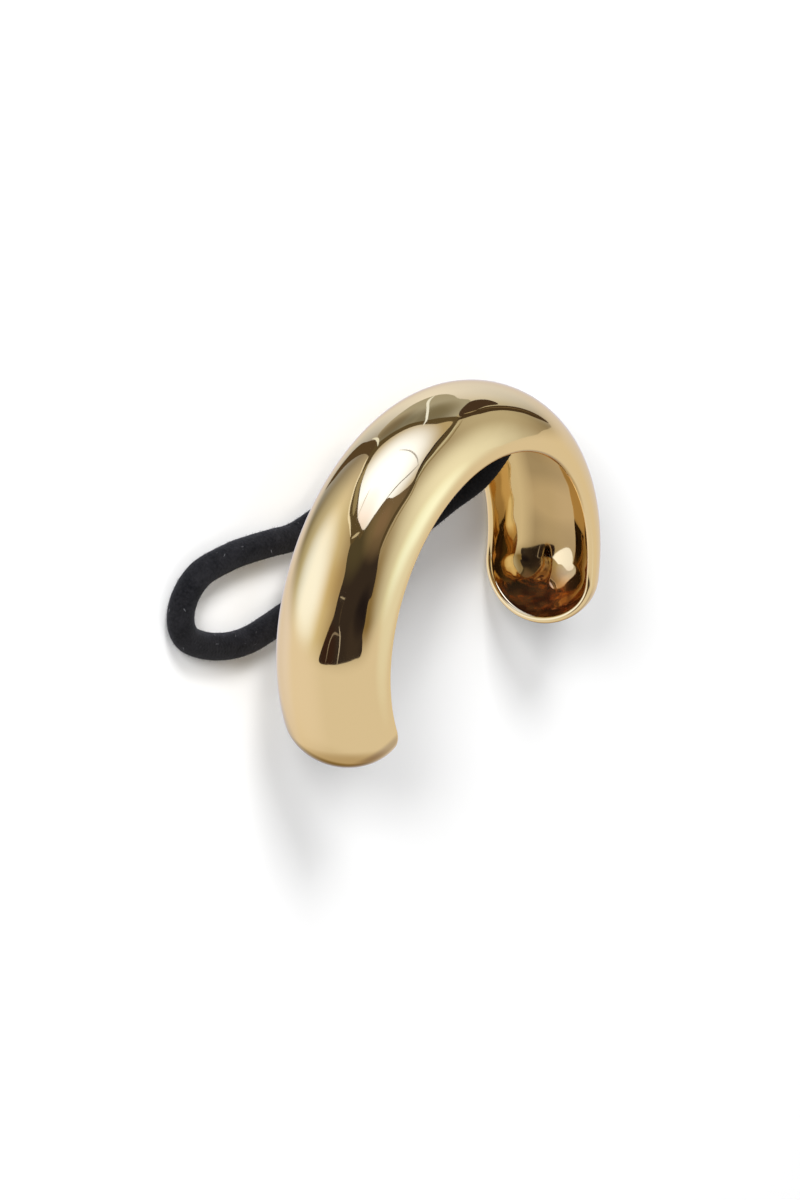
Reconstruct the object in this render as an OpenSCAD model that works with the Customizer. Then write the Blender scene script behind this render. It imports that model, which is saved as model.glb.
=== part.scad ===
// Ponytail cuff: a thin domed C of polished metal that closes round a ponytail, with the black
// hair elastic that holds it there. It lies on its side, its crown towards +Y, on a surface at z = 0.
// One side rests on the surface and the other on the elastic, which passes under it.
// Millimetres. The origin is the middle of the metal's box, at the surface.

/* [Cuff] */
// Radius of the open inner rim, from the cuff's own centre
rim_r = 21.8; // [21:0.1:24]
// Width of the band, across the rim
band_w = 16.6; // [14:0.1:19]
// How far the dome stands out from the rim
band_h = 7.2; // [6.6:0.1:9]
// Wall of the shell
wall = 0.9; // [0.7:0.05:1.2]
// Angle that the band covers, from tip to tip
wrap = 245.4; // [225:0.2:265]
// Length of each rounded tip, along the rim
tip_l = 6.8; // [5:0.1:10]

/* [Keeper] */
// Angle of the elastic's keeper from the crown, towards +X
keeper_angle = 25; // [10:1:60]
// Distance of the elastic's middle from the hollow's ceiling, in the keeper
keeper_drop = 3.9; // [2.4:0.1:4.6]
// Length of the keeper's barrel
keeper_l = 6; // [4:0.5:8]
// Wall of the barrel round the elastic
keeper_wall = 1.2; // [0.8:0.1:1.4]
// Length of the foot that joins the barrel to the ceiling
foot_l = 4; // [3:0.1:4]
// Width of the foot
foot_w = 2.6; // [1.6:0.1:3.4]
// Depth that the foot is let into the ceiling
foot_sink = 0.4; // [0.2:0.05:0.6]

/* [Elastic] */
// Thickness of the elastic
elastic_d = 3.5; // [2.5:0.1:3.5]

/* [Rest] */
// Where the rim touches the surface, as an angle from +X
touch_angle = 18; // [8:1:30]
// Where the rim crosses over the elastic, as an angle from +X
cross_angle = 138; // [125:1:150]
// Gap between the elastic and the rim that lies over it
lay_gap = 0.1; // [0.05:0.05:0.5]

/* [Hidden] */
$fn = 128;

half_w = band_w / 2;

// Steps along the band, round each tip, and from the rim up to the top of the dome
band_steps = 60;
tip_steps = 12;
across = 10;

// Sections of the dome, counted from the crown: the tips begin at this angle to each side
tip_start = wrap / 2 - tip_l / rim_r * 180 / PI;

// Keeper: the radius of the elastic's middle, and the barrel's outer diameter
ceiling_r = rim_r + band_h - wall;
keeper_r = ceiling_r - keeper_drop;
barrel_d = elastic_d + 2 * keeper_wall;

// Tilt of the cuff, from the point on the surface up to the rim over the elastic
tilt = asin((elastic_d + lay_gap) / (rim_r * (1 - cos(cross_angle - touch_angle))));

// Directions in the cuff's own frame, where its axis is Z, turned to how it lies, and back
function spun(v, a) = [v.x * cos(a) - v.y * sin(a), v.x * sin(a) + v.y * cos(a), v.z];
function tipped(v, a) = [v.x * cos(a) + v.z * sin(a), v.y, v.z * cos(a) - v.x * sin(a)];
function turned(v) = spun(tipped(spun(v, -touch_angle), tilt), touch_angle);
function unturned(v) = spun(tipped(spun(v, -touch_angle), -tilt), touch_angle);

// Outward and lengthwise directions of the band, at an angle from the crown towards +X
function outward(a) = [sin(a), cos(a), 0];
function lengthwise(a) = [cos(a), -sin(a), 0];

// How far the shell reaches from the cuff's centre in a direction of the laid frame
function arc_reach(v) =
    abs(atan2(v.x, v.y)) > tip_start ? 0 :
    rim_r * norm([v.x, v.y]) + norm([band_h * norm([v.x, v.y]), half_w * v.z]);
function tip_reach(v, side) =
    let (out = outward(side * tip_start) * v, along = lengthwise(side * tip_start) * v)
    rim_r * out + norm([tip_l * along, band_h * out, half_w * v.z]);
function reach(laid) =
    let (v = unturned(laid)) max(arc_reach(v), tip_reach(v, 1), tip_reach(v, -1));

// Place of the cuff's centre: the middle of the shell's box in X and Y, its lowest point at z = 0
centre = [
    (reach([-1, 0, 0]) - reach([1, 0, 0])) / 2,
    (reach([0, -1, 0]) - reach([0, 1, 0])) / 2,
    reach([0, 0, -1])
];

// Mouths of the keeper, where the elastic goes in: the first towards the crown
keeper_axis = turned(lengthwise(keeper_angle));
keeper_mid = turned(outward(keeper_angle) * keeper_r) + centre;
first_mouth = keeper_mid - keeper_axis * keeper_l / 2;
last_mouth = keeper_mid + keeper_axis * keeper_l / 2;

// Route of the elastic's middle between the two mouths: it drops out of the hollow, passes under
// the rim, lies in a loop on the surface, comes back under the rim and rises to the keeper
lie = elastic_d / 2;
elastic_route = [
    [3.5, 16, 9], [-0.5, 15, 8.5], [-4.5, 12, 6.5], [-8, 9, 4.5], [-12, 7, 2.5],
    [-17, 6, lie], [-21.5, 7, lie], [-26, 8, lie], [-29.5, 8.5, lie], [-34.5, 8.5, lie],
    [-37.5, 6.5, lie], [-38.5, 3.5, lie], [-37.5, 0.5, lie], [-34.5, -2, lie],
    [-30.5, -4, lie], [-26.5, -5, lie], [-22.5, -5, lie], [-16, -4.5, lie],
    [-10, -4, lie], [-4, -3.5, lie], [1.5, -3, lie], [7, -2.5, lie],
    [11.5, -1.5, 2], [15.5, 0.5, 3.5], [18, 4, 5], [18, 7.5, 6.5], [16, 10.5, 8]
];
// Sides of the elastic's tube, rings for each step of the route, and the step at its ends
tube_sides = 8;
ring_steps = 2;
end_step = 5;

// Smooth curve through the route, with its ends in line with the keeper
function between(p, t) =
    (2 * p[1] + (p[2] - p[0]) * t + (2 * p[0] - 5 * p[1] + 4 * p[2] - p[3]) * t * t
    + (3 * p[1] - p[0] - 3 * p[2] + p[3]) * t * t * t) / 2;
elastic_stops = concat(
    [first_mouth + keeper_axis * end_step, first_mouth],
    elastic_route,
    [last_mouth, last_mouth - keeper_axis * end_step]
);
elastic_path = concat(
    [for (i = [0:len(elastic_stops) - 4], k = [0:ring_steps - 1])
        between([for (j = [0:3]) elastic_stops[i + j]], k / ring_steps)],
    [last_mouth]
);

// Sections of the shell, from one tip to the other: each has its angle from the crown, and its
// turn round the dome, which is 90 on the band and falls to 0 at the end of a tip
sections = concat(
    [for (i = [0:tip_steps - 1]) [-tip_start, 90 * i / tip_steps]],
    [for (i = [0:band_steps]) [tip_start * (2 * i / band_steps - 1), 90]],
    [for (i = [tip_steps - 1:-1:0]) [tip_start, 90 * i / tip_steps]]
);

// Angle up the dome at which a skin meets the open rim, which is a cylinder: 0 on the band
function rim_angle(h, q) = -asin(q * q / (rim_r * h + sqrt(pow(rim_r * h, 2) - (h * h - q * q) * q * q)));

// Point of a skin on a section, from the rim on one side (j = 0) over the top to the other
function skin_point(section, j, inset) =
    let (
        angle = section[0], turn = section[1], side = j < across ? -1 : 1,
        h = band_h - inset, w = half_w - inset, l = (tip_l - inset) * cos(turn),
        low = rim_angle(h, l), up = low + (90 - low) * (1 - abs(j - across) / across)
    )
    outward(angle) * (rim_r + h * sin(up)) + lengthwise(angle) * (sign(angle) * l * cos(up))
    + [0, 0, side * w * cos(up) * sin(turn)];
function skin(inset) = [for (section = sections, j = [0:2 * across]) skin_point(section, j, inset)];

// Four-cornered faces as triangles, without those that the tips close up, which have no area
no_area = 1e-6;
function split(a, b, c, d) = [[a, b, c], [a, c, d]];
function solid_faces(points, faces) =
    [for (f = faces) if (norm(cross(points[f[1]] - points[f[0]], points[f[2]] - points[f[0]])) > no_area) f];

// Faceted tube along a path, its end rings square to the given directions
function unit(v) = v / norm(v);
function heading(path, i, first, last) =
    i == 0 ? first : i == len(path) - 1 ? last : unit(path[i + 1] - path[i - 1]);
// A ring has a flat at its bottom and top, at the tube's own radius, so that it lies on the surface
function ring(at, dir, d) =
    let (side = unit(cross(dir, [0, 0, 1])), rise = cross(side, dir))
    [for (k = [0:tube_sides - 1]) let (a = (k + 0.5) * 360 / tube_sides)
        at + d / 2 / cos(180 / tube_sides) * (side * cos(a) + rise * sin(a))];

module tube(path, d, first, last) {
    n = len(path);
    s = tube_sides;
    points = [for (i = [0:n - 1]) each ring(path[i], heading(path, i, first, last), d)];
    walls = [for (i = [0:n - 2], k = [0:s - 1])
        [i * s + k, i * s + (k + 1) % s, (i + 1) * s + (k + 1) % s, (i + 1) * s + k]];
    ends = [[for (k = [0:s - 1]) s - 1 - k], [for (k = [0:s - 1]) (n - 1) * s + k]];
    polyhedron(points, concat(walls, ends), convexity = 4);
}

// Puts what is drawn in the cuff's own frame where the cuff lies
module laid() {
    translate(centre)
        rotate([0, 0, touch_angle]) rotate([0, tilt, 0]) rotate([0, 0, -touch_angle])
            children();
}

// Puts what is drawn at the rim, X outwards and Y back towards the crown, at an angle from the crown
module at_rim(a) {
    rotate([0, 0, 90 - a]) translate([rim_r, 0, 0]) children();
}

// Thin domed wall: an outer and an inner skin, joined round the open rim
module shell() {
    n = len(sections);
    m = 2 * across;
    points = concat(skin(0), skin(wall));
    // Corner number of a point: the skin, the section and the step across it
    function at(inner, i, j) = (inner * n + i) * (m + 1) + j;
    skins = [for (i = [0:n - 2], j = [0:m - 1]) each concat(
        split(at(0, i, j), at(0, i + 1, j), at(0, i + 1, j + 1), at(0, i, j + 1)),
        split(at(1, i, j), at(1, i, j + 1), at(1, i + 1, j + 1), at(1, i + 1, j)))];
    rims = [for (i = [0:n - 2]) each concat(
        split(at(0, i, 0), at(1, i, 0), at(1, i + 1, 0), at(0, i + 1, 0)),
        split(at(0, i, m), at(0, i + 1, m), at(1, i + 1, m), at(1, i, m)))];
    polyhedron(points, solid_faces(points, concat(skins, rims)), convexity = 6);
}

// Barrel that the elastic's ends go into, on a foot let into the hollow's ceiling
module keeper() {
    foot_h = keeper_drop + foot_sink;
    at_rim(keeper_angle) translate([keeper_r - rim_r, 0, 0]) {
        rotate([90, 0, 0]) cylinder(d = barrel_d, h = keeper_l, center = true);
        translate([foot_h / 2, 0, 0]) cube([foot_h, foot_l, foot_w], center = true);
    }
}

module cuff_shell() {
    color("#e3c78a") laid() {
        shell();
        keeper();
    }
}

module elastic_loop() {
    color("#17171a") tube(elastic_path, elastic_d, -keeper_axis, -keeper_axis);
}

cuff_shell();
elastic_loop();
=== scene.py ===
"""The looks of a ponytail cuff: a polished C of thin metal, and the black hair elastic in it.

The cuff lies on its side. Lengths are in millimetres where no comment says metres, and they become
metres in the meshes and materials.
"""
import math

import bmesh
import bpy
from mathutils import Matrix, Vector
from mathutils.geometry import delaunay_2d_cdt


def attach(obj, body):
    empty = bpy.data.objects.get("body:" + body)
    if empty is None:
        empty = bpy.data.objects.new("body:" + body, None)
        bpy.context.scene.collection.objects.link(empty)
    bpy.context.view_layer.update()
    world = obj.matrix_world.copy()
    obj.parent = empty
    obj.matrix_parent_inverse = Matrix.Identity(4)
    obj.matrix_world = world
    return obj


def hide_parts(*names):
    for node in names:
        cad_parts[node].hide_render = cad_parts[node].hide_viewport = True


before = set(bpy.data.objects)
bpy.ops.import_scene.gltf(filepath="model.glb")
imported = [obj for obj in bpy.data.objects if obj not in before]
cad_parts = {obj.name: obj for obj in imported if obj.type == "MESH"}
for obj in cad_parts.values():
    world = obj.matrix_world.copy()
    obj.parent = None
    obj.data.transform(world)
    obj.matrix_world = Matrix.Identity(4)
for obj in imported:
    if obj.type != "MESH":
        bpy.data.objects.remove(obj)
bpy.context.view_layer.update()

# One millimetre, in metres
MM = 0.001

# The cuff's own sizes, in its own frame: its axis is Z and its crown is towards +Y
RIM_R = 21.8
BAND_W = 16.6
BAND_H = 7.2
WALL = 0.9
WRAP = math.radians(245.4)
TIP_L = 6.8
TIP_START = WRAP / 2 - TIP_L / RIM_R

# The keeper, which holds the elastic's two ends in the hollow: a barrel on a foot. The drop is from
# the hollow's ceiling to the elastic's middle, and the sink is how far the foot is let into it.
KEEPER_ANGLE = math.radians(25)
KEEPER_DROP = 3.9
KEEPER_R = RIM_R + BAND_H - WALL - KEEPER_DROP
KEEPER_L = 6.0
KEEPER_WALL = 1.2
FOOT_L = 4.0
FOOT_W = 2.6
FOOT_SINK = 0.4

# How it lies: the rim touches the surface at one angle, and rests on the elastic at another
ELASTIC_D = 3.5
TOUCH = math.radians(18)
CROSS = math.radians(138)
LAY_GAP = 0.1
TILT = math.asin((ELASTIC_D + LAY_GAP) / (RIM_R * (1 - math.cos(CROSS - TOUCH))))
TURNED = (
    Matrix.Rotation(TOUCH, 4, "Z") @ Matrix.Rotation(TILT, 4, "Y") @ Matrix.Rotation(-TOUCH, 4, "Z")
)
# Place of the cuff's own centre: the shell's box is over the origin, and its lowest point at z = 0
CENTRE = Vector((0.0, -8.273, 10.688))
LAID = Matrix.Translation(CENTRE) @ TURNED

# Middle of the elastic, from the keeper's mouth that is nearer to the crown to the other
LIE = ELASTIC_D / 2
ELASTIC_ROUTE = [
    (3.5, 16, 9), (-0.5, 15, 8.5), (-4.5, 12, 6.5), (-8, 9, 4.5), (-12, 7, 2.5),
    (-17, 6, LIE), (-21.5, 7, LIE), (-26, 8, LIE), (-29.5, 8.5, LIE), (-34.5, 8.5, LIE),
    (-37.5, 6.5, LIE), (-38.5, 3.5, LIE), (-37.5, 0.5, LIE), (-34.5, -2, LIE),
    (-30.5, -4, LIE), (-26.5, -5, LIE), (-22.5, -5, LIE), (-16, -4.5, LIE),
    (-10, -4, LIE), (-4, -3.5, LIE), (1.5, -3, LIE), (7, -2.5, LIE),
    (11.5, -1.5, 2), (15.5, 0.5, 3.5), (18, 4, 5), (18, 7.5, 6.5), (16, 10.5, 8),
]
# How far each end of it goes into the keeper
TUCK = 2.0

# The camera: how far it is from the cuff's centre, its lens and the shift of its picture, and its own
# three directions
CAMERA_DISTANCE = 1557.0
CAMERA_LENS = 366.7
CAMERA_SHIFT = (-0.0333, 0.0020)
CAMERA_BACK = Vector((-0.63394, 0.51315, 0.57862))
CAMERA_RIGHT = Vector((0.66386, -0.02275, 0.74751))
CAMERA_UP = Vector((0.39675, 0.85800, -0.32623))


def outward(angle):
    """Direction from the cuff's axis, at an angle from the crown towards +X."""
    return Vector((math.sin(angle), math.cos(angle), 0))


def lengthwise(angle):
    """Direction along the band at the same angle."""
    return Vector((math.cos(angle), -math.sin(angle), 0))


def add_camera():
    """The photograph's view of the cuff, from a long way off."""
    data = bpy.data.cameras.new("camera")
    data.lens = CAMERA_LENS
    data.sensor_width = 36.0
    data.shift_x, data.shift_y = CAMERA_SHIFT
    # In metres
    data.clip_start = 0.05
    data.clip_end = 20.0
    camera = bpy.data.objects.new("camera", data)
    bpy.context.scene.collection.objects.link(camera)
    place = (CENTRE + CAMERA_BACK * CAMERA_DISTANCE) * MM
    axes = Matrix((CAMERA_RIGHT, CAMERA_UP, CAMERA_BACK)).transposed()
    camera.matrix_world = Matrix.Translation(place) @ axes.to_4x4()
    bpy.context.scene.camera = camera


class Number:
    """A number in a node tree, so that a rule can be written as a sum."""

    def __init__(self, tree, socket):
        self.tree = tree
        self.socket = socket

    def maths(self, operation, *values):
        node = self.tree.nodes.new("ShaderNodeMath")
        node.operation = operation
        for place, value in zip(node.inputs, values):
            plug(self.tree, value, place)
        return Number(self.tree, node.outputs[0])

    def __add__(self, other):
        return self.maths("ADD", self, other)

    def __sub__(self, other):
        return self.maths("SUBTRACT", self, other)

    def __rsub__(self, other):
        return self.maths("SUBTRACT", other, self)

    def __mul__(self, other):
        return self.maths("MULTIPLY", self, other)

    def __rmul__(self, other):
        return self.maths("MULTIPLY", other, self)

    def __truediv__(self, other):
        return self.maths("DIVIDE", self, other)

    def sin(self):
        return self.maths("SINE", self)

    def cos(self):
        return self.maths("COSINE", self)

    def asin(self):
        return self.maths("ARCSINE", self)

    def sqrt(self):
        return self.maths("SQRT", self)

    def sign(self):
        return self.maths("SIGN", self)

    def size(self):
        return self.maths("ABSOLUTE", self)

    def least(self, other):
        return self.maths("MINIMUM", self, other)

    def most(self, other):
        return self.maths("MAXIMUM", self, other)

    def above(self, other):
        return self.maths("GREATER_THAN", self, other)


def plug(tree, value, socket):
    """Links a value to a socket, or types it in where it is a plain number."""
    if isinstance(value, Number):
        tree.links.new(value.socket, socket)
    elif isinstance(value, bpy.types.NodeSocket):
        tree.links.new(value, socket)
    else:
        socket.default_value = value


def new_tree(name, inputs):
    """A geometry tree with named inputs. Gives it, its first and last nodes, and its inputs."""
    tree = bpy.data.node_groups.new(name, "GeometryNodeTree")
    face = tree.interface
    face.new_socket("Geometry", in_out="INPUT", socket_type="NodeSocketGeometry")
    for key, kind in inputs.items():
        face.new_socket(key, in_out="INPUT", socket_type="NodeSocket" + kind)
    face.new_socket("Geometry", in_out="OUTPUT", socket_type="NodeSocketGeometry")
    source = tree.nodes.new("NodeGroupInput")
    numbers = {key: Number(tree, source.outputs[key]) for key in inputs}
    return tree, source, tree.nodes.new("NodeGroupOutput"), numbers


def set_inputs(modifier, values):
    """Sets a tree's inputs on a modifier, by each socket's identifier."""
    for item in modifier.node_group.interface.items_tree:
        if item.in_out == "INPUT" and item.name in values:
            modifier[item.identifier] = values[item.name]


def node(tree, kind, **inputs):
    """A node with some of its inputs linked or typed in."""
    made = tree.nodes.new(kind)
    for key, value in inputs.items():
        plug(tree, value, made.inputs[key.replace("_", " ")])
    return made


def bake(carrier, name):
    """Turns what a geometry tree makes into a plain mesh of its own, and clears the carrier."""
    graph = bpy.context.evaluated_depsgraph_get()
    mesh = bpy.data.meshes.new_from_object(carrier.evaluated_get(graph), depsgraph=graph)
    bpy.data.objects.remove(carrier)
    mesh.name = name
    made = bpy.data.objects.new(name, mesh)
    bpy.context.scene.collection.objects.link(made)
    return made


def carrier_of(data, tree, values):
    """An object that holds a geometry tree until it is baked."""
    carrier = bpy.data.objects.new("carrier", data)
    bpy.context.scene.collection.objects.link(carrier)
    modifier = carrier.modifiers.new("tree", "NODES")
    modifier.node_group = tree
    set_inputs(modifier, values)
    return carrier


def shell_tree(outside, inside):
    """The domed C as a rule: a half-oval swept round the rim, closed by a round tip at each end."""
    tree, _, out, size = new_tree("domed cuff", {
        "Rim radius": "Float", "Half width": "Float", "Dome height": "Float", "Wall": "Float",
        "Tip start": "Float", "Tip length": "Float",
        "Band steps": "Int", "Tip steps": "Int", "Steps across": "Int", "Lip steps": "Int",
    })
    rim = size["Rim radius"]
    steps = size["Tip steps"] * 2 + size["Band steps"]

    def sheet(across):
        """A flat grid, one column for each section: gives it with its two places, from 0 to 1."""
        grid = node(tree, "GeometryNodeMeshGrid", Size_X=1.0, Size_Y=1.0,
                    Vertices_X=steps + 1, Vertices_Y=across + 1)
        place = tree.nodes.new("ShaderNodeSeparateXYZ")
        tree.links.new(tree.nodes.new("GeometryNodeInputPosition").outputs[0], place.inputs[0])
        along = Number(tree, place.outputs[0]) + 0.5
        over = Number(tree, place.outputs[1]) + 0.5
        return grid, along, over

    def section(along):
        """Angle from the crown, turn round a tip, and which tip it is nearer to."""
        step = along * steps
        share = (step - size["Tip steps"]) / size["Band steps"]
        angle = (share.least(1.0).most(0.0) * 2 - 1) * size["Tip start"]
        turn = (step.least(steps - step) / size["Tip steps"]).least(1.0) * (math.pi / 2)
        return angle, turn, (along - 0.5).sign()

    def skin_point(along, rise, side, inset):
        """Point on a skin: rise is 0 where the rounded lip begins, and 1 at the top of the dome."""
        angle, turn, end = section(along)
        high = size["Dome height"] - inset
        half = size["Half width"] - inset
        length = (size["Tip length"] - inset) * turn.cos()
        lip = size["Wall"] / 2
        # The skin begins half a wall outside the rim, at a root of a quadratic in that angle's sine
        a = high * high - length * length
        b = rim * high
        c = length * length - rim * lip * 2 - lip * lip
        low = (0 - c / (b + (b * b - a * c).sqrt())).asin()
        up = low + (math.pi / 2 - low) * rise
        out_by = rim + high * up.sin()
        on_by = end * length * up.cos()
        return (
            angle.sin() * out_by + angle.cos() * on_by,
            angle.cos() * out_by - angle.sin() * on_by,
            side * half * up.cos() * turn.sin(),
        )

    def placed(grid, point):
        spot = tree.nodes.new("ShaderNodeCombineXYZ")
        for socket, value in zip(spot.inputs, point):
            plug(tree, value, socket)
        return node(tree, "GeometryNodeSetPosition", Geometry=grid.outputs[0],
                    Position=spot.outputs[0])

    def coated(part, material):
        return node(tree, "GeometryNodeSetMaterial", Geometry=part.outputs[0], Material=material)

    parts = []
    for inset, material in ((0.0, outside), (size["Wall"], inside)):
        grid, along, over = sheet(size["Steps across"] * 2)
        swing = over * 2 - 1
        skin = placed(grid, skin_point(along, 1 - swing.size(), swing.sign(), inset))
        parts.append(coated(skin, material))
    for side in (-1.0, 1.0):
        grid, along, over = sheet(size["Lip steps"])
        outer = skin_point(along, 0.0, side, 0.0)
        inner = skin_point(along, 0.0, side, size["Wall"])
        middle = [(p + q) / 2 for p, q in zip(outer, inner)]
        chord = [(p - q) / 2 for p, q in zip(outer, inner)]
        depth = (chord[0] * chord[0] + chord[1] * chord[1] + chord[2] * chord[2]).sqrt()
        reach = (middle[0] * middle[0] + middle[1] * middle[1]).sqrt()
        swing = over * math.pi
        inwards = [0 - middle[0] / reach, 0 - middle[1] / reach, 0.0]
        lip = placed(grid, [
            m + swing.cos() * c + swing.sin() * depth * d
            for m, c, d in zip(middle, chord, inwards)
        ])
        parts.append(coated(lip, outside))
    joined = tree.nodes.new("GeometryNodeJoinGeometry")
    for part in parts:
        tree.links.new(part.outputs[0], joined.inputs[0])
    weld = 0.002 * MM
    welded = node(tree, "GeometryNodeMergeByDistance", Geometry=joined.outputs[0], Distance=weld)
    smooth = node(tree, "GeometryNodeSetShadeSmooth", Geometry=welded.outputs[0])
    plain = node(tree, "GeometryNodeRealizeInstances", Geometry=smooth.outputs[0])
    tree.links.new(plain.outputs[0], out.inputs[0])
    return tree


def add_shell(outside, inside):
    """The polished shell, hollow on its inside, with a rounded lip all round its open rim."""
    carrier = carrier_of(bpy.data.meshes.new("blank"), shell_tree(outside, inside), {
        "Rim radius": RIM_R * MM, "Half width": BAND_W / 2 * MM, "Dome height": BAND_H * MM,
        "Wall": WALL * MM, "Tip start": TIP_START, "Tip length": TIP_L * MM,
        "Band steps": 180, "Tip steps": 36, "Steps across": 36, "Lip steps": 8,
    })
    shell = bake(carrier, "cuff_metal")
    mesh = bmesh.new()
    mesh.from_mesh(shell.data)
    # The tips close up to a point, so their last faces have no area
    bmesh.ops.dissolve_degenerate(mesh, dist=0.0001 * MM, edges=mesh.edges)
    bmesh.ops.recalc_face_normals(mesh, faces=mesh.faces)
    mesh.to_mesh(shell.data)
    mesh.free()
    shell.data.transform(Matrix.Scale(MM, 4) @ LAID @ Matrix.Scale(1 / MM, 4))
    return shell


def loft(rings, closed):
    """Faces between rings of points. A closed loft joins its last ring to its first."""
    made = bmesh.new()
    rows = [[made.verts.new(point) for point in ring] for ring in rings]
    pairs = list(zip(rows, rows[1:]))
    if closed:
        pairs.append((rows[-1], rows[0]))
    for one, two in pairs:
        count = len(one)
        for k in range(count):
            after = (k + 1) % count
            made.faces.new((one[k], one[after], two[after], two[k]))
    if not closed:
        made.faces.new(rows[0][::-1])
        made.faces.new(rows[-1])
    for face in made.faces:
        face.smooth = True
    bmesh.ops.recalc_face_normals(made, faces=made.faces)
    return made


def barrel():
    """A short tube with rounded lips, whose bore takes the elastic's two ends."""
    sides = 64
    lip_steps = 6
    play = 0.05
    lip = 0.35
    outer = ELASTIC_D / 2 + KEEPER_WALL
    inner = ELASTIC_D / 2 + play
    half = KEEPER_L / 2
    loop = []
    for end, radius, turn in ((1, outer, 0), (1, inner, 90), (-1, inner, 180), (-1, outer, 270)):
        out = 1 if radius == outer else -1
        for step in range(lip_steps + 1):
            swing = math.radians(turn + 90 * step / lip_steps)
            loop.append((end * (half - lip) + lip * math.sin(swing),
                         radius - out * lip + lip * math.cos(swing)))
    rings = []
    for k in range(sides):
        swing = 2 * math.pi * k / sides
        rings.append([(x, r * math.cos(swing), r * math.sin(swing)) for x, r in loop])
    return loft(rings, True)


def foot():
    """The post between the barrel and the hollow's ceiling, with a solder fillet at each end."""
    rise_steps = 24
    corner_steps = 4
    corner = 0.5
    fillet = 0.8
    # It begins in the barrel's bottom and ends in the shell's wall
    low = 1.6
    high = KEEPER_DROP + FOOT_SINK
    solder_heights = (KEEPER_WALL + ELASTIC_D / 2 - 0.1, KEEPER_DROP + 0.1)
    rings = []
    for step in range(rise_steps + 1):
        rise = low + (high - low) * step / rise_steps
        flare = 0.0
        for height in solder_heights:
            near = max(0.0, 1 - abs(rise - height) / fillet)
            flare = max(flare, fillet * (1 - math.sqrt(1 - near ** 2)))
        ring = []
        for x, z, turn in ((1, 1, 0), (-1, 1, 90), (-1, -1, 180), (1, -1, 270)):
            for k in range(corner_steps + 1):
                swing = math.radians(turn + 90 * k / corner_steps)
                ring.append((
                    x * (FOOT_L / 2 - corner) + (corner + flare) * math.cos(swing), rise,
                    z * (FOOT_W / 2 - corner) + (corner + flare) * math.sin(swing),
                ))
        rings.append(ring)
    return loft(rings, False)


def add_keeper(material):
    """The keeper, soldered in the hollow: a barrel on its foot."""
    middle = outward(KEEPER_ANGLE) * KEEPER_R
    axes = Matrix((lengthwise(KEEPER_ANGLE), outward(KEEPER_ANGLE), Vector((0, 0, 1)))).transposed()
    mesh = bpy.data.meshes.new("keeper")
    whole = bmesh.new()
    for part in (barrel(), foot()):
        holder = bpy.data.meshes.new("part")
        part.to_mesh(holder)
        part.free()
        whole.from_mesh(holder)
        bpy.data.meshes.remove(holder)
    whole.to_mesh(mesh)
    whole.free()
    mesh.transform(Matrix.Scale(MM, 4) @ LAID @ Matrix.Translation(middle) @ axes.to_4x4())
    mesh.materials.append(material)
    keeper = bpy.data.objects.new("keeper", mesh)
    bpy.context.scene.collection.objects.link(keeper)
    return keeper


def between(p, t):
    """Smooth curve through four points, from the second to the third."""
    return 0.5 * (
        2 * p[1] + (p[2] - p[0]) * t + (2 * p[0] - 5 * p[1] + 4 * p[2] - p[3]) * t ** 2
        + (3 * p[1] - p[0] - 3 * p[2] + p[3]) * t ** 3
    )


def elastic_line(steps):
    """Points along the middle of the elastic, mouth to mouth."""
    axis = TURNED @ lengthwise(KEEPER_ANGLE)
    middle = TURNED @ (outward(KEEPER_ANGLE) * KEEPER_R) + CENTRE
    first = middle - axis * (KEEPER_L / 2)
    last = middle + axis * (KEEPER_L / 2)
    # A point beyond each end keeps the curve in line with the keeper there
    beyond = 5
    stops = [first + axis * beyond, first]
    stops += [Vector(point) for point in ELASTIC_ROUTE]
    stops += [last, last - axis * beyond]
    line = [
        between(stops[i:i + 4], k / steps)
        for i in range(len(stops) - 3) for k in range(steps)
    ]
    # It goes a little way into the keeper at both ends
    deep = [first + axis * (TUCK * k / 3) for k in (3, 2, 1)]
    back = [last - axis * (TUCK * k / 3) for k in (0, 1, 2, 3)]
    return [point * MM for point in deep + line + back]


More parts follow.
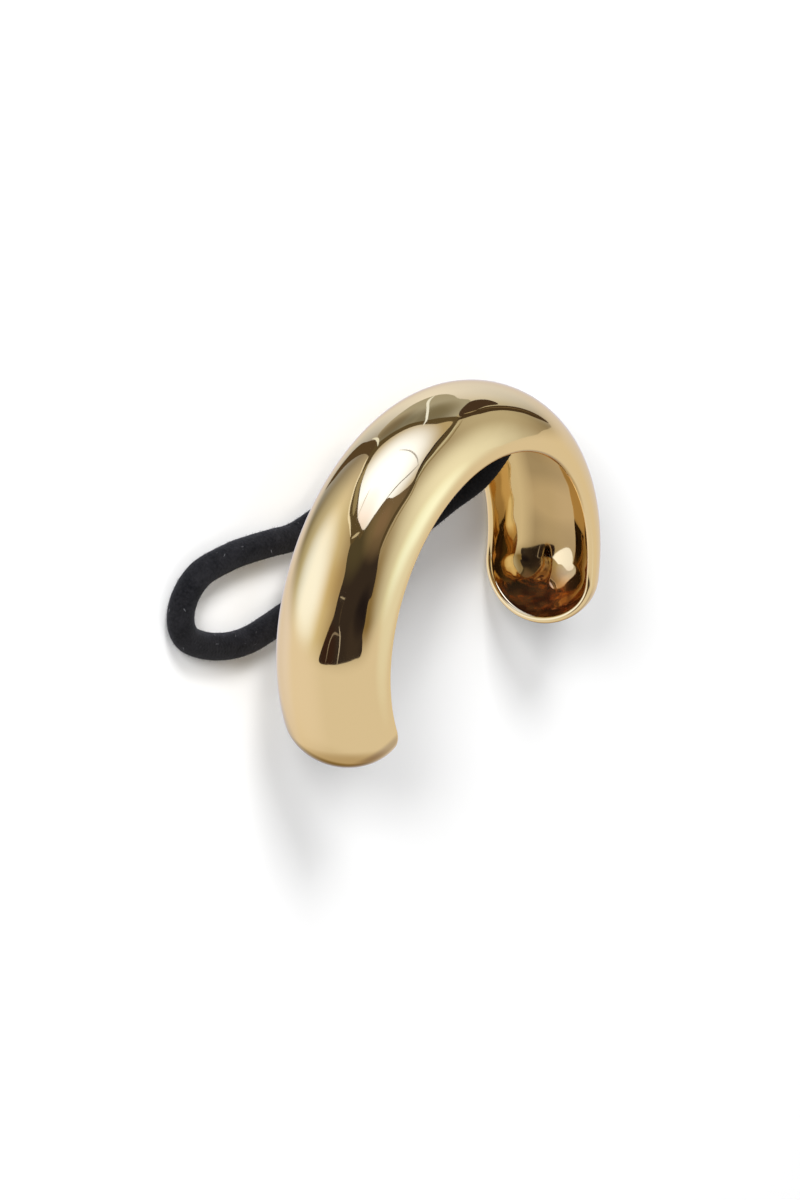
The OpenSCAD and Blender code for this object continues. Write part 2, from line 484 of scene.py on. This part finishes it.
def cord_tree(material):
    """A knitted cord along the curve that it is given: round, with fine slanting ribs."""
    tree, source, out, size = new_tree("knitted cord", {
        "Radius": "Float", "Sides": "Int", "Step": "Float", "Rib pitch": "Float",
        "Ribs round": "Float", "Rib depth": "Float",
    })
    even = tree.nodes.new("GeometryNodeResampleCurve")
    even.mode = "LENGTH"
    tree.links.new(source.outputs[0], even.inputs["Curve"])
    plug(tree, size["Step"], even.inputs["Length"])
    ring = node(tree, "GeometryNodeCurvePrimitiveCircle", Resolution=size["Sides"],
                Radius=size["Radius"])

    def kept(curve, output):
        """The curve, with its own measure kept as a field for the tube."""
        capture = tree.nodes.new("GeometryNodeCaptureAttribute")
        capture.capture_items.new("FLOAT", "measure")
        tree.links.new(curve.outputs[0], capture.inputs[0])
        measure = tree.nodes.new("GeometryNodeSplineParameter")
        tree.links.new(measure.outputs[output], capture.inputs[1])
        return capture, Number(tree, capture.outputs[1])

    line, along = kept(even, "Length")
    profile, round_share = kept(ring, "Factor")
    tube = node(tree, "GeometryNodeCurveToMesh", Curve=line.outputs[0],
                Profile_Curve=profile.outputs[0], Fill_Caps=True)
    turn = along / size["Rib pitch"] * (2 * math.pi)
    lead = round_share * (2 * math.pi) * size["Ribs round"]
    # Ribs that slant one way cross ribs that slant the other way
    weave = (turn + lead).sin().most((turn - lead).sin()) * size["Rib depth"]
    lumps_per_metre = 900.0
    fluff = node(tree, "ShaderNodeTexNoise", Scale=lumps_per_metre, Detail=3.0)
    rough = (Number(tree, fluff.outputs[0]) - 0.5) * size["Rib depth"] * 3
    normal = tree.nodes.new("GeometryNodeInputNormal")
    push = tree.nodes.new("ShaderNodeVectorMath")
    push.operation = "SCALE"
    tree.links.new(normal.outputs[0], push.inputs[0])
    plug(tree, weave + rough - size["Rib depth"], push.inputs["Scale"])
    worked = node(tree, "GeometryNodeSetPosition", Geometry=tube.outputs[0],
                  Offset=push.outputs[0])
    smooth = node(tree, "GeometryNodeSetShadeSmooth", Geometry=worked.outputs[0])
    plain = node(tree, "GeometryNodeRealizeInstances", Geometry=smooth.outputs[0])
    finish = node(tree, "GeometryNodeSetMaterial", Geometry=plain.outputs[0], Material=material)
    tree.links.new(finish.outputs[0], out.inputs[0])
    return tree


def fuzz_tree(hair, lint):
    """Short hairs all over the cord that it is given, and a few pale specks of lint."""
    tree, source, out, size = new_tree("cord fuzz", {
        "Hairs": "Float", "Specks": "Float", "Floor": "Float",
    })
    place = tree.nodes.new("GeometryNodeInputPosition").outputs[0]
    height = Number(tree, node(tree, "ShaderNodeSeparateXYZ", Vector=place).outputs[2])
    clear = height.above(size["Floor"])
    # How many on a square metre, how long and how thick, how far they lean, and the draw's seed
    kinds = (
        (size["Hairs"], 0.24, 0.016, 1.2, 3, hair),
        (size["Specks"], 0.5, 0.025, 1.5, 8, lint),
    )
    layers = []
    for count, length, thick, lean, seed, material in kinds:
        spread = tree.nodes.new("GeometryNodeDistributePointsOnFaces")
        tree.links.new(source.outputs[0], spread.inputs["Mesh"])
        plug(tree, clear, spread.inputs["Selection"])
        plug(tree, count, spread.inputs["Density"])
        spread.inputs["Seed"].default_value = seed
        strand = node(tree, "GeometryNodeMeshCone", Vertices=3, Side_Segments=2,
                      Radius_Top=thick * 0.3 * MM, Radius_Bottom=thick * MM, Depth=length * MM)
        strand.fill_type = "NONE"
        tilt = tree.nodes.new("FunctionNodeRandomValue")
        tilt.data_type = "FLOAT_VECTOR"
        tilt.inputs[0].default_value = (-lean, -lean, -math.pi)
        tilt.inputs[1].default_value = (lean, lean, math.pi)
        tilt.inputs["Seed"].default_value = seed + 1
        as_turn = tree.nodes.new("FunctionNodeEulerToRotation")
        tree.links.new(tilt.outputs[0], as_turn.inputs[0])
        turned = tree.nodes.new("FunctionNodeRotateRotation")
        turned.rotation_space = "LOCAL"
        tree.links.new(spread.outputs["Rotation"], turned.inputs[0])
        tree.links.new(as_turn.outputs[0], turned.inputs[1])
        # From rather short to a little over the usual length
        growth = tree.nodes.new("FunctionNodeRandomValue")
        growth.data_type = "FLOAT"
        growth.inputs[2].default_value = 0.45
        growth.inputs[3].default_value = 1.2
        growth.inputs["Seed"].default_value = seed + 2
        planted = tree.nodes.new("GeometryNodeInstanceOnPoints")
        tree.links.new(spread.outputs["Points"], planted.inputs["Points"])
        tree.links.new(strand.outputs["Mesh"], planted.inputs["Instance"])
        tree.links.new(turned.outputs[0], planted.inputs["Rotation"])
        tree.links.new(growth.outputs[1], planted.inputs["Scale"])
        plain = node(tree, "GeometryNodeRealizeInstances", Geometry=planted.outputs[0])
        layers.append(node(tree, "GeometryNodeSetMaterial", Geometry=plain.outputs[0],
                           Material=material))
    joined = tree.nodes.new("GeometryNodeJoinGeometry")
    for layer in layers:
        tree.links.new(layer.outputs[0], joined.inputs[0])
    tree.links.new(joined.outputs[0], out.inputs[0])
    return tree


def add_elastic(material):
    """The elastic as one round cord along its line. Gives the line too."""
    line = elastic_line(steps=8)
    curve = bpy.data.curves.new("elastic_line", "CURVE")
    curve.dimensions = "3D"
    spline = curve.splines.new("POLY")
    spline.points.add(len(line) - 1)
    for spot, point in zip(spline.points, line):
        spot.co = (*point, 1)
    carrier = carrier_of(curve, cord_tree(material), {
        "Radius": ELASTIC_D / 2 * MM, "Sides": 48, "Step": 0.16 * MM, "Rib pitch": 0.62 * MM,
        "Ribs round": 9.0, "Rib depth": 0.02 * MM,
    })
    return bake(carrier, "elastic_cord"), line


def add_fuzz(elastic, hair, lint):
    """The elastic's fine hairs, as a piece of their own. None grow where it lies on the surface."""
    carrier = carrier_of(elastic.data.copy(), fuzz_tree(hair, lint), {
        "Hairs": 7.0 / MM ** 2, "Specks": 0.10 / MM ** 2, "Floor": 0.35 * MM,
    })
    return bake(carrier, "elastic_fuzz")


def new_material(name, base, metallic, roughness):
    """A material with its plain values typed in. Gives its tree and shader too."""
    material = bpy.data.materials.new(name)
    material.use_nodes = True
    tree = material.node_tree
    shader = tree.nodes["Principled BSDF"]
    shader.inputs["Base Color"].default_value = (*base, 1)
    shader.inputs["Metallic"].default_value = metallic
    shader.inputs["Roughness"].default_value = roughness
    place = tree.nodes.new("ShaderNodeTexCoord").outputs["Object"]
    return material, tree, shader, place


def noise(tree, place, size, detail):
    """Cloudy noise with lumps of about this size in millimetres."""
    made = node(tree, "ShaderNodeTexNoise", Vector=place, Scale=1 / (size * MM), Detail=detail)
    return Number(tree, made.outputs[0])


def ranged(value, low, high, to_low, to_high):
    """A value brought from one range to another."""
    made = node(value.tree, "ShaderNodeMapRange", Value=value)
    for key, number in (("From Min", low), ("From Max", high), ("To Min", to_low),
                        ("To Max", to_high)):
        made.inputs[key].default_value = number
    return Number(value.tree, made.outputs[0])


def mixed(tree, share, one, two):
    """One colour going over to another."""
    choice = tree.nodes.new("ShaderNodeMix")
    choice.data_type = "RGBA"
    plug(tree, share, choice.inputs[0])
    for value, socket in ((one, choice.inputs[6]), (two, choice.inputs[7])):
        plug(tree, value, socket)
    return choice.outputs[2]


def bumps(tree, shader, height, depth):
    """Gives the shader a relief of this depth in millimetres."""
    bump = node(tree, "ShaderNodeBump", Height=height, Distance=depth * MM, Strength=1.0)
    tree.links.new(bump.outputs[0], shader.inputs["Normal"])


def polished(name, base, low, high):
    """Mirror-polished plate, with faint haze and hairline marks."""
    material, tree, shader, place = new_material(name, base, 1.0, low)
    haze = noise(tree, place, 5.0, 4.0)
    # The marks are drawn out along Y
    stretch = node(tree, "ShaderNodeMapping", Vector=place)
    stretch.inputs["Scale"].default_value = (1.0, 0.12, 1.0)
    marks = noise(tree, stretch.outputs[0], 0.16, 1.0)
    polish = ranged(haze, 0.35, 0.75, low, high) + ranged(marks, 0.68, 0.8, 0.0, 0.03)
    plug(tree, polish, shader.inputs["Roughness"])
    shader.inputs["Specular Tint"].default_value = (1.0, 0.87, 0.66, 1)
    return material, tree, shader, place


def pale_gold():
    """The gold that is seen from outside, with the slight waviness of thin metal."""
    base = (0.90, 0.685, 0.375)
    material, tree, shader, place = polished("polished pale gold", base, 0.03, 0.055)
    waves = noise(tree, place, 6.0, 1.0) + noise(tree, place, 1.6, 0.0) * 0.06
    bumps(tree, shader, waves, 0.045)
    return material


def gold_of_hollow_painted_shading():
    """The hollow's gold: less evenly polished, darker all over as painted shade, a darker copper in
    its buckled, closed tips as painted shade, and lighter side walls as a painted highlight.
    """
    # Darker than the outside gold: painted shade of the hollow
    base = (0.557, 0.387, 0.178)
    # Lighter and yellower than the hollow's base: painted highlight on the side walls
    sides = (0.78, 0.575, 0.28)
    # Darker copper in the closed tips: painted shade of the hollow's deep ends
    tip_shade_dark_copper = (0.38, 0.14, 0.06)
    tip_shade_light_copper = (0.76, 0.33, 0.11)
    material, tree, shader, place = polished("gold of the hollow, painted shading", base, 0.04, 0.09)

    # Distance from the nearer tip, a third of the way up its dome
    tip_r = RIM_R + BAND_H * 0.35
    reaches = []
    for side in (-1, 1):
        tip = LAID @ (outward(side * WRAP / 2) * tip_r)
        away = node(tree, "ShaderNodeVectorMath", Vector=place)
        away.operation = "DISTANCE"
        away.inputs[1].default_value = tip * MM
        reaches.append(Number(tree, away.outputs["Value"]))
    near = reaches[0].least(reaches[1])
    ragged = near + (noise(tree, place, 3.2, 1.0) - 0.5) * (3.0 * MM)
    # Share of the tips' painted shade at each point
    share = ranged(ragged, 8.5 * MM, 4.5 * MM, 0.0, 1.0)

    # Distance from the band's middle, across it
    axis = TURNED @ Vector((0, 0, 1))
    across = node(tree, "ShaderNodeVectorMath", Vector=place)
    across.operation = "DOT_PRODUCT"
    across.inputs[1].default_value = axis
    from_middle = (Number(tree, across.outputs["Value"]) - axis.dot(CENTRE) * MM).size()

    # Cloudy plating in the middle, yellower on the side walls as a painted highlight, and blotchy
    # copper in the tips as painted shade
    cloudy = ranged(noise(tree, place, 6.0, 0.0), 0.35, 0.65, 0.0, 1.0)
    middle = mixed(tree, cloudy, (*(part * 0.84 for part in base), 1),
                   (*(part * 1.12 for part in base), 1))
    plating_and_wall_highlight = mixed(tree, ranged(from_middle, 4.2 * MM, 5.6 * MM, 0.0, 1.0), middle, (*sides, 1))
    blotchy = ranged(noise(tree, place, 2.0, 1.0), 0.42, 0.58, 0.0, 1.0)
    # Painted shade in the tips, in blotchy copper
    copper = mixed(tree, blotchy, (*tip_shade_dark_copper, 1), (*tip_shade_light_copper, 1))
    tree.links.new(mixed(tree, share, plating_and_wall_highlight, copper), shader.inputs["Base Color"])
    plug(tree, 1 - share * 0.05, shader.inputs["Metallic"])

    # Ripples that grow towards the tips, and dents on the side walls
    side_wall = ranged(from_middle, 3.0 * MM, 8.0 * MM, 0.0, 1.0)
    buckled = ranged(near, 16.0 * MM, 7.0 * MM, 0.0, 1.4)
    ripples = (noise(tree, place, 2.4, 0.0) * (share * 1.8 + 0.14)
               + noise(tree, place, 4.0, 0.0) * buckled)
    dents = noise(tree, place, 3.9, 0.0) * side_wall * 2.4
    bumps(tree, shader, noise(tree, place, 6.0, 1.0) + ripples + dents, 0.10)
    return material


def knitted_black():
    """Matt black knit: streaks along the yarns, a dusty bloom and a soft sheen."""
    material, tree, shader, place = new_material("black knit", (0.012, 0.012, 0.013), 0.0, 0.92)
    streak = noise(tree, place, 0.35, 3.0) * 0.6 + noise(tree, place, 2.4, 2.0) * 0.4
    ramp = node(tree, "ShaderNodeValToRGB", Fac=streak)
    ramp.color_ramp.elements[0].position = 0.34
    ramp.color_ramp.elements[0].color = (0.0025, 0.0025, 0.003, 1)
    ramp.color_ramp.elements[1].position = 0.70
    ramp.color_ramp.elements[1].color = (0.0150, 0.0145, 0.0165, 1)
    tree.links.new(ramp.outputs[0], shader.inputs["Base Color"])
    shader.inputs["Specular IOR Level"].default_value = 0.25
    shader.inputs["Sheen Weight"].default_value = 0.10
    shader.inputs["Sheen Roughness"].default_value = 0.4
    shader.inputs["Sheen Tint"].default_value = (0.5, 0.5, 0.55, 1)
    bumps(tree, shader, noise(tree, place, 0.12, 2.0), 0.06)
    return material


def fibre(name, base, vary):
    """Fine hair or lint, a little lighter in places."""
    material, tree, shader, place = new_material(name, base, 0.0, 0.85)
    tone = node(tree, "ShaderNodeValToRGB", Fac=noise(tree, place, 0.9, 1.0))
    tone.color_ramp.elements[0].position = 0.35
    tone.color_ramp.elements[0].color = (*base, 1)
    tone.color_ramp.elements[1].position = 0.75
    tone.color_ramp.elements[1].color = (*(part * vary for part in base), 1)
    tree.links.new(tone.outputs[0], shader.inputs["Base Color"])
    shader.inputs["Specular IOR Level"].default_value = 0.2
    return material


def pale_paper():
    """The table's matt white paper, with a faint grain."""
    material, tree, shader, place = new_material("pale paper", (0.9, 0.9, 0.9), 0.0, 0.95)
    shader.inputs["Specular IOR Level"].default_value = 0.1
    bumps(tree, shader, noise(tree, place, 0.8, 2.0), 0.01)
    return material


# The room behind the crown's side, as the metal sees it: its tone, and its pools of light
ROOM_TONE = (0.41, 0.39, 0.34)
ROOM_POOLS = [
    ((-72, -45), 58, (0.44, 0.47, 0.40)),
    ((-70, -42), 34, (0.24, 0.42, 0.95)),
    ((75, 62), 50, (0.55, 0.68, 0.80)),
    ((92, -42), 50, (0.54, 0.69, 1.12)),
    ((-75, 0), 32, (-0.02, -0.06, -0.11)),
    ((65, 4), 32, (0.11, 0.13, 0.13)),
    ((-70, 85), 45, (-0.18, -0.22, -0.27)),
    ((10, -85), 45, (-0.30, -0.29, -0.27)),
    ((-48, -12), 30, (-0.05, -0.08, -0.11)),
    ((-10, -58), 34, (0.07, 0.07, 0.11)),
    ((100, -20), 40, (-0.19, -0.19, -0.18)),
    ((99, 66), 26, (0.16, 0.27, 0.24)),
    ((99, 64), 22, (0.04, 0.09, 0.27)),
]


def add_floor(paper):
    """A pale floor. The polished metal sees the studio's cards in its place."""
    mesh = bpy.data.meshes.new("floor")
    # Half its side, in metres
    half = 3.0
    mesh.from_pydata([(-half, -half, 0), (half, -half, 0), (half, half, 0), (-half, half, 0)],
                     [], [(0, 1, 2, 3)])
    mesh.materials.append(paper)
    floor = bpy.data.objects.new("floor", mesh)
    bpy.context.scene.collection.objects.link(floor)
    floor.visible_glossy = False


def towards(azimuth, elevation):
    """Direction from the cuff: azimuth is 0 at +Y and 90 at +X, both in degrees."""
    a = math.radians(azimuth)
    e = math.radians(elevation)
    return Vector((math.sin(a) * math.cos(e), math.cos(a) * math.cos(e), math.sin(e)))


def pooled(tree, direction, base, pools):
    """One side of the studio: a wall of one tone, with soft pools of more or less light on it."""
    x, y, z = direction
    tones = list(base)
    for (azimuth, elevation), wide, light in pools:
        at = towards(azimuth, elevation)
        near = x * at.x + y * at.y + z * at.z
        pool = node(tree, "ShaderNodeMapRange", Value=near)
        pool.interpolation_type = "SMOOTHSTEP"
        pool.inputs["From Min"].default_value = math.cos(math.radians(wide))
        pool.inputs["From Max"].default_value = 1.0
        share = Number(tree, pool.outputs[0])
        tones = [share * part + tone for tone, part in zip(tones, light)]
    colour = tree.nodes.new("ShaderNodeCombineColor")
    for socket, tone in zip(colour.inputs, tones):
        plug(tree, tone, socket)
    return colour.outputs[0]


def add_card(name, corners, light, layer, pools=()):
    """A card that only polished metal sees, by the directions of its corners, in degrees.

    It is about a metre away: the lower the layer, the nearer. Soft pools change its light in places.
    """
    curve_steps = 6
    spots = [Vector(corner) for corner in corners]
    outline = [
        between([spots[(i + k) % len(spots)] for k in range(4)], j / curve_steps)
        for i in range(len(spots)) for j in range(curve_steps)
    ]
    turning = sum(one.cross(two) for one, two in zip(outline, outline[1:] + outline[:1]))
    if turning < 0:
        outline.reverse()
    # Points within it, so that it bends round the cuff
    spacing = 7
    low = [int(min(spot[k] for spot in outline)) for k in (0, 1)]
    high = [int(max(spot[k] for spot in outline)) for k in (0, 1)]
    inner = [
        Vector((azimuth, elevation)) for azimuth in range(low[0] + spacing, high[0], spacing)
        for elevation in range(low[1] + spacing, high[1], spacing)
    ]
    around = list(range(len(outline)))
    all_faces = 0
    same_spot = 1e-3
    flat, _, faces, _, _, owners = delaunay_2d_cdt(
        outline + inner, [], [around], all_faces, same_spot)
    distance = 1 + layer / 100
    curved = [CENTRE * MM + towards(*spot) * distance for spot in flat]
    mesh = bpy.data.meshes.new(name)
    mesh.from_pydata(curved, [], [face for face, owner in zip(faces, owners) if owner])
    glowing(name, mesh, light, pools)


def glowing(name, mesh, light, pools=()):
    """Puts a card's mesh in the scene, lit by itself and seen only in polished metal."""
    card = bpy.data.objects.new(name, mesh)
    bpy.context.scene.collection.objects.link(card)
    for kind in ("camera", "diffuse", "transmission", "volume_scatter", "shadow"):
        setattr(card, "visible_" + kind, False)
    glow = bpy.data.materials.new(name)
    glow.use_nodes = True
    glow.cycles.emission_sampling = "NONE"
    tree = glow.node_tree
    tree.nodes.clear()
    shine = node(tree, "ShaderNodeEmission", Color=(*light, 1), Strength=1.0)
    if pools:
        place = tree.nodes.new("ShaderNodeTexCoord")
        aim = tree.nodes.new("ShaderNodeVectorMath")
        aim.operation = "NORMALIZE"
        tree.links.new(place.outputs["Object"], aim.inputs[0])
        split = node(tree, "ShaderNodeSeparateXYZ", Vector=aim.outputs[0])
        direction = [Number(tree, split.outputs[k]) for k in range(3)]
        tree.links.new(pooled(tree, direction, light, pools), shine.inputs["Color"])
    node(tree, "ShaderNodeOutputMaterial", Surface=shine.outputs[0])
    mesh.materials.append(glow)


def add_strip(name, points, width, light, layer=-3):
    """A thin card along a line of directions, as wide as this many degrees in its middle."""
    end_share = 0.35
    sides = ([], [])
    for k, (azimuth, elevation) in enumerate(points):
        before = points[max(k - 1, 0)]
        after = points[min(k + 1, len(points) - 1)]
        squeeze = math.cos(math.radians(elevation))
        run = Vector(((after[0] - before[0]) * squeeze, after[1] - before[1])).normalized()
        half = width / 2 * (end_share if k in (0, len(points) - 1) else 1)
        for side, sign in zip(sides, (1, -1)):
            side.append((azimuth - sign * run.y * half / squeeze, elevation + sign * run.x * half))
    add_card(name, sides[0] + sides[1][::-1], light, layer)


def add_cards():
    """What the metal mirrors: a dark doorway, a bright window in its frame, boards and rails."""
    add_card("doorway", [
        (-98, -4), (-98, 15), (-98.5, 35), (-101, 50), (-106, 61), (-98, 62.5), (-90, 61.5),
        (-80, 63), (-70, 62), (-61, 61), (-56, 64), (-48, 62.5), (-42, 60), (-36, 56), (-30, 50),
        (-20, 44), (-5, 41), (8, 37), (18, 28), (30, 18), (38, 9), (43, 1), (38, -2), (20, 0),
        (-5, 0), (-36, -4), (-40, 0), (-46, 3), (-52, 7), (-58, 10), (-70, 10), (-76, 9),
        (-82, 5), (-90, 0),
    ], (0.038, 0.031, 0.032), 9, [
        ((-72, 53), 14, (-0.022, -0.018, -0.014)), ((-90, 47), 16, (0.010, 0.008, 0.006)),
        ((-92, 8), 16, (0.0, -0.010, -0.014)), ((-38, 12), 24, (0.045, 0.045, 0.022)),
        ((-14, 31), 27, (0.15, 0.12, 0.08)), ((-20, 30), 10, (0.035, 0.02, 0.02)),
    ])
    add_strip("doorway frame", [
        (-31, 48), (-24, 44.5), (-15, 42), (0, 40), (7, 37.5), (13, 31.5), (21, 23.5), (30, 16),
        (38, 9), (44, 1),
    ], 4.2, (0.095, 0.078, 0.05), 8)
    add_strip("doorway edge", [
        (-27, 50), (-10, 47), (5, 44), (11, 40.5), (15, 34), (22, 28.5), (32, 23), (40, 15.5),
        (46, 6),
    ], 1.2, (0.26, 0.23, 0.15), 7)
    add_strip("doorway light", [(13, 33.5), (20, 26.5), (30, 21), (37, 14.5), (44, 6)], 1.4,
              (0.62, 0.68, 0.66), 6)
    add_card("window frame", [
        (-41, 1), (-36, -9), (-31, -18), (-28, -26), (-15, -36), (0, -42.5), (14, -47), (20, -44),
        (28, -33), (33, -20), (40, -8), (46, 1), (38, 6), (20, 8), (-31, 12), (-36, 6),
    ], (0.11, 0.09, 0.055), 5)
    add_strip("frame panel", [(-29, -16), (-25, -21), (-18, -29), (-9, -35.5), (0, -39)], 3.6,
              (0.32, 0.30, 0.22), 4)
    add_strip("frame outline", [
        (-38, -5), (-33.5, -14), (-30, -23), (-22, -31.5), (-12, -38), (-2, -42.5), (6, -45.5),
    ], 1.3, (0.95, 1.0, 1.05), 4)
    add_strip("frame catch", [(-38.5, -1), (-36, 3), (-34, 6)], 2.2, (0.55, 0.55, 0.5), 4)
    add_card("window", [
        (-31, 11), (-21, 14), (-12, 16), (-8, 23), (0, 29), (7, 31.5), (11, 30), (14, 25),
        (20, 19), (30, 11.5), (40, 4), (40, -1), (33, -8), (28.5, -20), (22, -32), (12, -40),
        (2, -39), (-10, -32.5), (-20, -22), (-28, -10), (-30.5, 0),
    ], (0.50, 0.46, 0.36), 0, [
        ((-6, -4), 43, (0.85, 1.25, 2.4)), ((-27, -2), 18, (-0.1, -0.3, -0.62)),
    ])
    add_strip("window bar", [(-13, 15.5), (-6, 17), (2, 19), (8, 20.5), (13.5, 21)], 1.2,
              (0.34, 0.38, 0.52))
    add_strip("window cord", [(13.5, 21), (13.7, 12), (12.5, 0), (10, -13)], 0.9,
              (0.46, 0.52, 0.74))
    add_strip("window catch", [(-29, -8), (-22, -10.5), (-15, -13)], 1.5, (0.75, 0.88, 1.2))
    add_card("side board", [
        (43, -3), (50, -7), (57, -12), (59.5, -18), (58, -24), (62, -31), (66, -40), (62, -47),
        (50, -53), (35, -55), (22, -50), (15, -44), (23, -34), (28, -22), (34, -10),
    ], (0.42, 0.46, 0.50), 8, [
        ((37, -20), 19, (-0.21, -0.24, -0.29)), ((30, -44), 15, (-0.21, -0.235, -0.27)),
        ((45, -20), 12, (0.0, -0.01, -0.03)), ((36, -50), 14, (0.0, -0.03, -0.06)),
    ])
    add_strip("bright cord", [
        (29, -17), (33, -20), (38, -26), (44, -32), (51, -37), (58, -40), (65, -41),
    ], 1.3, (0.95, 1.15, 1.6))
    add_card("low beam", [
        (7, -44), (15, -45.5), (23, -51), (32, -58), (42, -63), (60, -67), (80, -71), (96, -76),
        (60, -77), (40, -72), (26, -65), (15, -54),
    ], (0.10, 0.075, 0.05), 6)
    add_strip("bright foot", [(15, -44.5), (24, -51), (33, -57.5)], 1.3, (0.9, 1.05, 1.3))
    add_card("pale board", [
        (96, -1), (96, 6), (96, 13), (97.5, 20), (98.6, 27), (98.6, 33), (94, 36.5), (86, 39.8),
        (78, 38), (74, 28), (72, 16), (74, 4), (82, 0), (90, -1),
    ], ROOM_TONE, 12, ROOM_POOLS)
    add_strip("long rail", [(45, 2), (56, 1.4), (66, 0.4), (80, -0.8), (88, -1.4), (94.5, -2)], 6.4,
              (0.068, 0.049, 0.032), 4)
    add_strip("rail edge", [(60, -0.2), (75, -1.2), (88, -2.0)], 0.8, (0.19, 0.15, 0.10), 3)
    add_strip("rail end", [(49, -1.6), (52, -0.8), (56, -1.2)], 1.0, (0.40, 0.36, 0.28), 3)
    add_card("small box", [
        (46.5, 0), (55, -1.5), (62, -3.5), (70, -5), (67, -12), (60, -15), (53, -11.5), (47.5, -6),
    ], (0.065, 0.045, 0.036), 5)
    add_strip("stand top", [(-98, 23), (-91, 25.5), (-85, 24.5), (-80, 21)], 1.3,
              (0.50, 0.50, 0.55))
    add_strip("stand leg", [(-84, 23), (-83.3, 17), (-84, 13), (-88, 9.5), (-97, 6)], 1.1,
              (0.26, 0.24, 0.24))
    add_strip("stand arm", [(-80, 20), (-73, 19.5), (-66, 20)], 0.9, (0.085, 0.07, 0.06))
    add_strip("stand end", [(-65, 20), (-65, 14)], 1.3, (0.5, 0.5, 0.5))
    # A painted highlight for the hollow: a tiny glowing disc
    add_hollow_highlight_glow()


def add_hollow_highlight_glow():
    """A tiny bright disc at the far leg's mouth that glows and only the hollow sees: a painted
    highlight in the hollow's reflection.
    """
    radius = 1.0
    place = Vector((21.0, -16.2, 5.1))
    made = bmesh.new()
    disc = bmesh.ops.create_circle(made, cap_ends=True, segments=48, radius=radius * MM)
    facing = Matrix.Rotation(math.pi / 2, 4, "Y")
    oval = Matrix.Diagonal((1.0, 1.1, 1.2, 1.0))
    there = Matrix.Translation(place * MM)
    bmesh.ops.transform(made, matrix=there @ oval @ facing, verts=disc["verts"])
    mesh = bpy.data.meshes.new("hollow_highlight_glow")
    made.to_mesh(mesh)
    made.free()
    # It glows though it is no lamp: a painted highlight seen in the hollow
    glowing("hollow_highlight_glow", mesh, (1.8, 2.2, 3.3))


def add_lamp(name, place, size, power):
    """A soft lamp that lights the floor and the elastic, and isn't seen in the metal.

    Its place and its size are in metres, and its power is in watts.
    """
    data = bpy.data.lights.new(name, "AREA")
    data.shape = "RECTANGLE"
    data.size, data.size_y = size
    data.energy = power
    lamp = bpy.data.objects.new(name, data)
    bpy.context.scene.collection.objects.link(lamp)
    lamp.location = place
    target = Vector((0, 0, 10)) * MM
    aim = target - Vector(place)
    lamp.rotation_mode = "QUATERNION"
    lamp.rotation_quaternion = aim.to_track_quat("-Z", "Y")
    lamp.visible_glossy = False
    lamp.visible_camera = False


def add_world():
    """The room behind the crown's side and the pale sweep in front of it, as the metal sees them.

    The floor and the elastic get plain neutral light instead.
    """
    world = bpy.data.worlds.new("studio")
    bpy.context.scene.world = world
    world.use_nodes = True
    tree = world.node_tree
    place = tree.nodes.new("ShaderNodeTexCoord")
    split = node(tree, "ShaderNodeSeparateXYZ", Vector=place.outputs["Generated"])
    direction = [Number(tree, split.outputs[k]) for k in range(3)]
    room = pooled(tree, direction, ROOM_TONE, ROOM_POOLS)
    sweep = pooled(tree, direction, (0.76, 0.75, 0.73), [
        ((180, -6), 40, (-0.25, -0.30, -0.38)),
        ((160, -30), 26, (-0.36, -0.36, -0.36)),
        ((150, 8), 30, (-0.26, -0.26, -0.19)),
        ((-120, -40), 45, (0.07, 0.07, 0.11)),
        ((115, -35), 50, (-0.04, 0.04, 0.33)),
        ((170, -75), 40, (0.03, 0.08, 0.33)),
        ((114, 62), 24, (0.07, 0.15, 0.20)),
    ])
    # The room goes over to the sweep between these shares of +Y in a direction
    all_room = 0.04
    all_sweep = -0.26
    edge = node(tree, "ShaderNodeMapRange", Value=direction[1])
    edge.interpolation_type = "SMOOTHSTEP"
    edge.inputs["From Min"].default_value = all_room
    edge.inputs["From Max"].default_value = all_sweep
    seen = mixed(tree, edge.outputs[0], room, sweep)
    neutral = (0.30, 0.30, 0.30, 1)
    path = tree.nodes.new("ShaderNodeLightPath")
    light = mixed(tree, path.outputs["Is Glossy Ray"], neutral, seen)
    tree.links.new(light, tree.nodes["Background"].inputs["Color"])


gold = pale_gold()
gold_inside_painted_shading = gold_of_hollow_painted_shading()
knit = knitted_black()
hair = fibre("black fuzz", (0.006, 0.006, 0.0068), 2.6)
lint = fibre("pale lint", (0.16, 0.16, 0.17), 1.8)
paper = pale_paper()

add_camera()
add_floor(paper)
add_world()
add_cards()
add_lamp("key lamp", (-1.98, 2.01, 1.27), (0.79, 0.57), 83)
add_lamp("second key lamp", (-0.79, 2.64, 1.53), (0.88, 0.66), 79)
add_lamp("front lamp", (0.10, -0.60, 1.20), (0.70, 0.70), 2)
add_lamp("top lamp", (-0.10, 0.80, 1.10), (0.70, 0.70), 2)

shell = add_shell(gold, gold_inside_painted_shading)
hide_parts("cuff_shell")
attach(shell, "root")

keeper = add_keeper(gold)
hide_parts("cuff_shell")
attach(keeper, "root")

# Three points of the line are in the keeper, so the fourth is at the keeper's mouth
elastic, line = add_elastic(knit)
length = sum((b - a).length for a, b in zip(line, line[1:]))
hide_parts("elastic_loop")
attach(elastic, "root")
fuzz = add_fuzz(elastic, hair, lint)
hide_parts("elastic_loop")
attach(fuzz, "root")
for piece in (elastic, fuzz):
    piece.visible_glossy = False

bpy.context.scene.view_settings.view_transform = "Standard"
